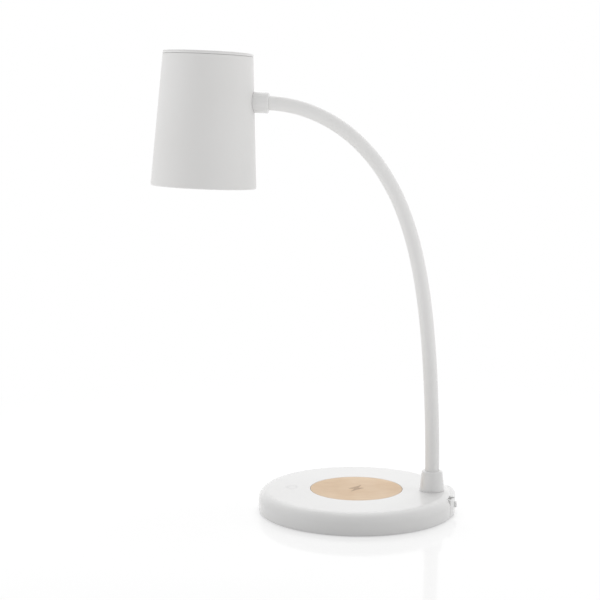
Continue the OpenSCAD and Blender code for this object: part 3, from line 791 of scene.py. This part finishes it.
def panel_section(out_r, foot_z, lip_top, wall_top, floor):
    """(r, z) outline: outer wall with round edges, the floor behind it and the lip inside the shell."""
    edge = out_r - PANEL_EDGE_R
    outline = [(SKIRT_IN_R, foot_z)]
    outline += arc_points((edge, foot_z + PANEL_EDGE_R), PANEL_EDGE_R, -90, 0, PANEL_EDGE_STEPS)
    outline += arc_points((edge, wall_top - PANEL_EDGE_R), PANEL_EDGE_R, 0, 90, PANEL_EDGE_STEPS)
    outline += [(edge - PANEL_EDGE_R, wall_top), (edge - PANEL_EDGE_R, floor), (PANEL_LIP_R, floor)]
    outline += [(PANEL_LIP_R, lip_top), (PANEL_IN_R, lip_top), (PANEL_IN_R, PANEL_BODY_Z)]
    return outline + [(SKIRT_IN_R, PANEL_BODY_Z)]


def panel_angles():
    """Angles of the panel's sections, and the two between which the notch lies.

    Each side of the notch is a pair of sections that nearly meet.
    """
    angles = [PANEL_HALF_ANGLE * (2 * i / PANEL_STEPS - 1) for i in range(PANEL_STEPS + 1)]
    first = min(angles, key=lambda angle: abs(angle - NOTCH_FROM))
    last = min(angles, key=lambda angle: abs(angle - NOTCH_TO))
    return sorted(angles + [first + NOTCH_SIDE, last - NOTCH_SIDE]), first, last


def panel_body(rim_r, proud, foot_z, lip_top):
    """The panel without its openings.

    It stands proud in the middle, is flush at both ends and has a notch near one of them.
    """
    points, faces = [], []
    angles, first, last = panel_angles()
    for angle in angles:
        rise = min(1, (PANEL_HALF_ANGLE - abs(angle)) / PANEL_FADE)
        out_r = rim_r + proud * rise * rise * (3 - 2 * rise)
        in_notch = first < angle < last
        tops = (NOTCH_WALL_TOP, NOTCH_FLOOR) if in_notch else (PANEL_TOP, PANEL_TOP - SHELF_STEP)
        section = panel_section(out_r, foot_z, lip_top, *tops)
        points += [Vector((r * math.cos(angle), r * math.sin(angle), z)) for r, z in section]
    n = len(section)
    for i in range(len(angles) - 1):
        for j in range(n):
            a, b = i * n + j, i * n + (j + 1) % n
            faces.append((a, b, b + n, a + n))
    end = (len(angles) - 1) * n
    faces.append(tuple(reversed(range(n))))
    faces.append(tuple(range(end, end + n)))
    return points, faces


def opening(name, half_w, half_h, corner):
    """A bar along X, centred on a node, with rounded corners in its section."""
    low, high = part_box(name)
    centre_y, centre_z = (low.y + high.y) / 2, (low.z + high.z) / 2
    outline = []
    for side_y, side_z, first in ((1, -1, -90), (1, 1, 0), (-1, 1, 90), (-1, -1, 180)):
        middle = (centre_y + side_y * (half_w - corner), centre_z + side_z * (half_h - corner))
        outline += arc_points(middle, corner, first, first + 90, CORNER_STEPS)
    upright, faces = prism(outline, CUT_FROM_X, CUT_TO_X)
    return [Vector((p.z, p.x, p.y)) for p in upright], faces


def socket_opening(name, corner=None):
    """Room for a socket with a gap all round. Its ends are fully round where no corner is given."""
    low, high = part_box(name)
    half_w, half_h = (high.y - low.y) / 2 + SOCKET_GAP, (high.z - low.z) / 2 + SOCKET_GAP
    return opening(name, half_w, half_h, corner or FULL_ROUND * half_h)


def build_panel():
    low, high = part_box("rear_panel")
    rim_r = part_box("base_shell")[1].y
    piece = new_object("panel", *panel_body(rim_r, high.x - rim_r, low.z, high.z))
    cut(piece, join(socket_opening("usb_a_socket", USB_A_CORNER),
                    socket_opening("usb_c_socket"),
                    opening("power_button", BUTTON_HOLE_R, BUTTON_HOLE_R, FULL_ROUND * BUTTON_HOLE_R)))
    for polygon in piece.data.polygons:
        polygon.use_smooth = True
    mark_sharp(piece.data, 35)
    dress(piece, panel_white())
    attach(piece, "base")
    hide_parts("rear_panel")


# ---- Printed marks ----

def build_bolt():
    """A plain bolt on the charging disc. Its second half is the first, turned round the middle."""
    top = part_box("wood_inlay")[1].z
    corners = [*BOLT_HALF, *((-x, -y) for x, y in BOLT_HALF)]
    add_piece("pad_mark", prism(corners, top - MARK_DEPTH, top + MARK_RISE), mark_brown(), "base")


def build_touch_ring():
    """A small ring over the touch key."""
    low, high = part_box("touch_electrode")
    centre = ((low.x + high.x) / 2, 0, 0)
    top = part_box("base_shell")[1].z
    ring = annulus(TOUCH_RING_IN_R, TOUCH_RING_OUT_R, top - MARK_DEPTH, top + MARK_RISE)
    add_piece("touch_mark", moved(ring, centre), mark_grey(), "base")


# ---- Contacts of the sockets ----

def usb_a_contacts():
    """Four strips on the tongue of the USB-A socket."""
    low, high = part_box("usb_a_socket")
    middle, tongue = (low.y + high.y) / 2, low.z + USB_A_TONGUE_Z
    back, front = high.x - USB_A_STRIP_BACK, high.x - USB_A_STRIP_FRONT
    strips = []
    for offset in USB_A_OFFSETS:
        y = middle + offset
        strips.append(block((back, y - USB_A_STRIP_HALF_W, tongue - USB_A_STRIP_DEPTH),
                            (front, y + USB_A_STRIP_HALF_W, tongue + USB_A_STRIP_RISE)))
    return join(*strips)


def usb_c_contacts():
    """Two rows of fine strips on the tongue of the USB-C socket."""
    low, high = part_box("usb_c_socket")
    middle, height = (low.y + high.y) / 2, (low.z + high.z) / 2
    back, front = high.x - USB_C_STRIP_BACK, high.x - USB_C_STRIP_FRONT
    strips = []
    for side in (-1, 1):
        z = height + side * USB_C_TONGUE_HALF_T
        for i in range(USB_C_PER_SIDE):
            y = middle + (i - (USB_C_PER_SIDE - 1) / 2) * USB_C_PITCH
            strips.append(block((back, y - USB_C_STRIP_HALF_W, z - USB_C_STRIP_HALF_T),
                                (front, y + USB_C_STRIP_HALF_W, z + USB_C_STRIP_HALF_T)))
    return join(*strips)


def build_contacts():
    gilt = brushed("gilt", (0.83, 0.62, 0.27))
    add_piece("usb_a_contacts", usb_a_contacts(), gilt, "base")
    add_piece("usb_c_contacts", usb_c_contacts(), gilt, "base")


# ---- The scene ----


bpy.context.scene.view_settings.view_transform = "Standard"
add_camera()
add_world(ambient=0.53)
add_lamps()
add_floor()
paint_nodes()
soften_edges()
build_gooseneck()
build_panel()
build_bolt()
build_touch_ring()
build_contacts()
